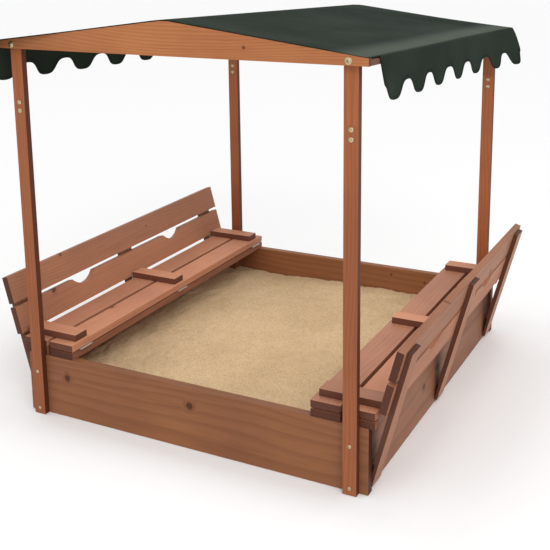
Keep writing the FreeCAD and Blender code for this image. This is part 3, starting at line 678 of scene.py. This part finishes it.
def make_sand():
    """The sand as one closed piece with an uneven top."""
    low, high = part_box("sand_fill")
    columns, rows = SAND_COLUMNS, SAND_ROWS
    xs = np.linspace(low[0] + SAND_CLEAR, high[0] - SAND_CLEAR, columns)
    ys = np.linspace(low[1] + SAND_CLEAR, high[1] - SAND_CLEAR, rows)
    points = [(x, y, high[2] - SAND_SETTLED + hills(x, y)) for y in ys for x in xs]
    faces = []
    for j in range(rows - 1):
        for i in range(columns - 1):
            a = j * columns + i
            faces.append((a, a + 1, a + columns + 1, a + columns))
    top_faces = len(faces)

    # The rim of the top, once round, is repeated at the bottom.
    edge = list(range(columns))
    edge += [j * columns + columns - 1 for j in range(1, rows)]
    edge += [(rows - 1) * columns + i for i in range(columns - 2, -1, -1)]
    edge += [j * columns for j in range(rows - 2, 0, -1)]
    first = len(points)
    for i in edge:
        x, y, _ = points[i]
        points.append((x, y, low[2] + SAND_LIFT))
    for k, i in enumerate(edge):
        n = (k + 1) % len(edge)
        faces.append((edge[n], i, first + k, first + n))
    faces.append(tuple(first + k for k in reversed(range(len(edge)))))
    data = bpy.data.meshes.new("sand_surface")
    data.from_pydata(points, [], faces)
    data.update()
    for face in data.polygons:
        face.use_smooth = face.index < top_faces
    data.materials.append(sand_material())
    piece = bpy.data.objects.new("sand_surface", data)
    scene.collection.objects.link(piece)
    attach(piece, "frame")
    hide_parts("sand_fill")


make_sand()

# ------------------------------------------------------------------ roof cloth

# Heights are those at the front gable's inner face. The roof falls from there to the back.
# The cloth is level over the ridge rail as far out as BLUNT, falls to each eave, and turns
# over it within TURN to hang down as the valance.
cloth_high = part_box("canopy_cloth")[1]
front_gable, back_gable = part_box("gable_front"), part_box("gable_back")
EAVE_X = cloth_high[0]
GABLE_Z = front_gable[0][2]
RIDGE_Z = front_gable[1][2] + 0.003
EAVE_Z = GABLE_Z + 0.022
TIP_Z = GABLE_Z - 0.095
HALF_Y = back_gable[1][1]
FRONT_Y = front_gable[1][1]
SLOPE = (GABLE_Z - back_gable[0][2]) / (HALF_Y - FRONT_Y)
BLUNT = 0.016
TURN = 0.009
CLOTH_INSET = 0.0012

# The valance flares: on the left evenly, on the right more and more towards its back end.
FLARE_LEFT = 0.014
FLARE_RIGHT = 0.17

# The cloth has slipped along each eave, on the right towards the back. The slip starts at
# a share of the way out and grows with a power of the rest.
SLIP = cloth_high[1] - HALF_Y
SLIP_START = 0.55
SLIP_POWER = 1.4

# Lobes along each valance, how deep and how steep the gaps between them are, and the short
# rise from the last lobe up to where the valance ends.
PITCH_Y = 0.176
LOBES = 7
NOTCH = 0.043
STEEP = 1.6
LAST_LOBE_CUT = 0.12
RISE_POWER = 1.15
END_Y = HALF_Y - 0.001

# Beyond the valance's ends the cloth stops at a short lip. It creeps on by a hair for each
# further point, so that no two points are in one place.
LIP_OUT, LIP_DOWN = 0.0075, 0.0012
CREEP_OUT, CREEP_DOWN = 0.00002, 0.00004

# How far the cloth sags and ripples between its supports, and the strips it is drawn with.
SAG = 0.0065
RIPPLE = 0.0022
PULL = 0.0009
ROOF_STEPS, TURN_STEPS, DROP_STEPS = 40, 8, 24
CLOTH_STRIPS, HEM_STRIPS = LOBES * 38, LOBES * 40
CLOTH_THICK = 0.0011
HEM_WIDE = 0.0085
HEM_PROUD = 0.0011
HEM_PAST = 0.0006


def cloth_material(name, tone, dark):
    """Dull woven cloth, with a painted highlight along the fold where it turns over each eave."""
    made = Nodes(name)
    point = made.add("ShaderNodeTexCoord").outputs["Object"]
    weave_y = made.add(
        "ShaderNodeTexWave", {"Vector": point, "Scale": 330.0}, bands_direction="Y"
    ).outputs["Fac"]
    weave_z = made.add(
        "ShaderNodeTexWave", {"Vector": point, "Scale": 330.0}, bands_direction="DIAGONAL"
    ).outputs["Fac"]
    threads = made.math("MULTIPLY", weave_y, weave_z)
    fade = made.noise(point, 4.0, 4.0, 0.6)
    slub = made.noise(made.stretch(point, (60.0, 500.0, 500.0)), 1.0, 2.0)
    colour = made.mix(made.steps(fade, 0.3, 0.7), linear(*tone), linear(*dark))
    colour = made.mix(
        made.math("MULTIPLY", made.steps(slub, 0.4, 0.8), 0.3), colour, linear(*dark)
    )
    colour = made.mix(made.math("MULTIPLY", threads, 0.25), colour, linear(*dark))
    # A painted highlight: paler colour in a band along the fold where the cloth rounds over each
    # eave rail.
    out = made.math("ABSOLUTE", made.add("ShaderNodeSeparateXYZ", {"Vector": point}).outputs["X"])
    eave_highlight = made.math(
        "MULTIPLY",
        made.steps(out, EAVE_X - 0.12, EAVE_X - 0.03),
        made.steps(out, EAVE_X - 0.001, EAVE_X - 0.012),
    )
    colour = made.mix(made.math("MULTIPLY", eave_highlight, 0.75), colour, linear(84, 93, 82))
    made.put_shader(
        Base_Color=colour,
        Roughness=made.steps(fade, 0.2, 0.8, 0.8, 0.92),
        Normal=made.bump(threads, 0.25, 0.0004),
    )
    made.shader.inputs["Specular IOR Level"].default_value = 0.06
    return made.material


cloth = cloth_material("roof_cloth", (40, 50, 41), (33, 42, 34))
binding = cloth_material("hem_binding", (36, 44, 37), (28, 35, 29))


def settle(x, y, z):
    """Moves a point of a level roof's cloth down to where the falling roof has it."""
    return x, y, z - SLOPE * (y - FRONT_Y)


def along_eave(share, x):
    """The place in Y of one strip of the cloth, from the front edge (0) to the back (1)."""
    outer = max(0.0, abs(x) / EAVE_X - SLIP_START) / (1 - SLIP_START)
    slip = math.copysign(SLIP * outer**SLIP_POWER, x)
    front, back = -HALF_Y + min(0.0, slip), HALF_Y + max(0.0, slip)
    return front + (back - front) * share


def lobe_depth(y):
    """A rounded square wave: 1 at the lobes' tips and 0 at the tops of the gaps."""
    wave = math.tanh(STEEP * math.cos(2 * math.pi * y / PITCH_Y)) / math.tanh(STEEP)
    return 0.5 + 0.5 * wave


def valance_bottom(side, y):
    """How far down the cloth hangs at a place along one eave."""
    y = abs(y - side * SLIP)
    last = PITCH_Y * (LOBES / 2 - LAST_LOBE_CUT)
    if y <= last:
        return TIP_Z + NOTCH * (1 - lobe_depth(y))
    if y <= END_Y:
        low = TIP_Z + NOTCH * (1 - lobe_depth(last))
        share = (y - last) / (END_Y - last)
        return low + (EAVE_Z - TURN - low) * share**RISE_POWER
    return EAVE_Z


def cloth_x(side, y, z):
    """How far out the valance hangs."""
    drop = max(0.0, EAVE_Z - z)
    wave = math.sin(y * 17.0 + 0.6) * 0.0016 + math.sin(y * 41.0) * 0.0008
    flare = FLARE_RIGHT * max(0.0, y - SLIP) ** 2 if side > 0 else FLARE_LEFT
    share = drop / (EAVE_Z - TIP_Z)
    return EAVE_X - CLOTH_INSET + wave * min(1.0, drop / 0.08) + flare * share


def roof_point(share, along):
    """A point of the roof slope, from ridge (0) to where the cloth turns over (1)."""
    x = share * (EAVE_X - TURN)
    y = (2 * along - 1) * HALF_Y
    down = max(0.0, x - BLUNT) / (EAVE_X - TURN - BLUNT)
    z = RIDGE_Z - 0.001 - (RIDGE_Z - EAVE_Z) * down

    # The gables hold it fast, so it sags and ripples only further in.
    inside = min(1.0, max(0.0, (HALF_Y - 0.02 - abs(y)) / 0.16))
    inside = inside * inside * (3 - 2 * inside)
    sag = SAG * math.sin(math.pi * min(down * 1.04, 1.0)) * inside
    ripple = noise.noise(Vector((x * 6.0, y * 2.4, 4.4))) * RIPPLE * inside * min(1.0, 8 * down)

    # Small pleats where it is pulled towards its outer corners.
    pull = math.sin((share * 0.9 + abs(y) * 1.4) * 21.0) * PULL
    pull *= inside * max(0.0, share - 0.55) * max(0.0, abs(y) / HALF_Y - 0.45) * 3
    return x, z - sag + ripple + pull


def column(side, along):
    """One strip of the cloth across the roof, from the ridge to the valance's edge."""
    points = []
    for i in range(ROOF_STEPS + 1):
        x, z = roof_point(i / ROOF_STEPS, along)
        points.append(settle(side * x, along_eave(along, side * x), z))
    y = along_eave(along, side * EAVE_X)
    bottom = valance_bottom(side, y)
    start_x, start_z = roof_point(1.0, along)
    hangs = bottom < EAVE_Z - 1e-6
    top = start_z - TURN
    for i in range(1, TURN_STEPS + 1):
        angle = math.pi / 2 * i / TURN_STEPS
        if hangs:
            x = start_x + (cloth_x(side, y, top) - start_x) * math.sin(angle)
            z = start_z - TURN * (1 - math.cos(angle))
        else:
            x = start_x + LIP_OUT * i / TURN_STEPS
            z = start_z - LIP_DOWN * i / TURN_STEPS
        points.append(settle(side * x, y, z))
    for i in range(1, DROP_STEPS + 1):
        if hangs:
            z = top + (bottom - top) * i / DROP_STEPS
            points.append(settle(side * cloth_x(side, y, z), y, z))
        else:
            x = start_x + LIP_OUT + CREEP_OUT * i
            z = start_z - LIP_DOWN - CREEP_DOWN * i
            points.append(settle(side * x, y, z))
    return points


def make_cloth():
    """The roof cloth with both its valances, as one curved sheet.

    Two more strips lie close together where the valances start, so that the step is sharp."""
    cut_back = (SLIP + HALF_Y - END_Y) / (2 * HALF_Y + SLIP)
    shares = np.linspace(0, 1, CLOTH_STRIPS + 1).tolist()
    for share in (cut_back - 0.0003, cut_back + 0.0001):
        shares += [share, 1 - share]
    points, faces = [], []
    strips = []
    for share in sorted(shares):
        left, right_side = column(-1, share), column(1, share)
        strip = list(reversed(left)) + right_side[1:]
        strips.append([len(points) + i for i in range(len(strip))])
        points.extend(strip)
    for a, b in zip(strips, strips[1:]):
        for i in range(len(a) - 1):
            faces.append((a[i], b[i], b[i + 1], a[i + 1]))
    data = bpy.data.meshes.new("roof_cloth")
    data.from_pydata(points, [], faces)
    data.update()
    for face in data.polygons:
        face.use_smooth = True
    data.materials.append(cloth)
    piece = bpy.data.objects.new("roof_cloth", data)
    scene.collection.objects.link(piece)
    thick = piece.modifiers.new("cloth_thickness", "SOLIDIFY")
    thick.thickness = CLOTH_THICK
    thick.offset = 0.0
    return piece


def hem_line(side):
    """The valance's edge as (y, z), from its front corner to its back corner."""
    count = HEM_STRIPS
    places = [side * SLIP - END_Y + 2 * END_Y * i / count for i in range(1, count)]
    return [(y, valance_bottom(side, y)) for y in places]


def make_hem(side):
    """A narrow binding folded over the valance's edge."""
    line = hem_line(side)
    inner, outer = [], []
    for i, (y, z) in enumerate(line):
        before, after = line[max(0, i - 1)], line[min(len(line) - 1, i + 1)]
        dy, dz = after[0] - before[0], after[1] - before[1]
        length = math.hypot(dy, dz) or 1.0
        inward = (-dz / length, dy / length)
        inner.append((y + inward[0] * HEM_WIDE, z + inward[1] * HEM_WIDE))
        outer.append((y - inward[0] * HEM_PAST, z - inward[1] * HEM_PAST))
    points, faces = [], []
    for low, high in zip(outer, inner):
        for (y, z), way in ((high, 1), (low, 1), (low, -1), (high, -1)):
            x = cloth_x(side, y, z) + way * HEM_PROUD
            points.append(settle(side * x, y, z))
    for k in range(len(line) - 1):
        for i in range(4):
            j = (i + 1) % 4
            quad = (4 * k + i, 4 * k + j, 4 * k + 4 + j, 4 * k + 4 + i)
            faces.append(quad if side < 0 else tuple(reversed(quad)))
    last = 4 * (len(line) - 1)
    faces.append((0, 1, 2, 3) if side > 0 else (3, 2, 1, 0))
    faces.append(tuple(last + i for i in ((3, 2, 1, 0) if side > 0 else (0, 1, 2, 3))))
    name = "hem_left" if side < 0 else "hem_right"
    data = bpy.data.meshes.new(name)
    data.from_pydata(points, [], faces)
    data.update()
    data.materials.append(binding)
    piece = bpy.data.objects.new(name, data)
    scene.collection.objects.link(piece)
    return piece


canopy = make_cloth()
hems = [make_hem(-1), make_hem(1)]
for piece in (canopy, *hems):
    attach(piece, "frame")
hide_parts("canopy_cloth")

bpy.context.view_layer.update()
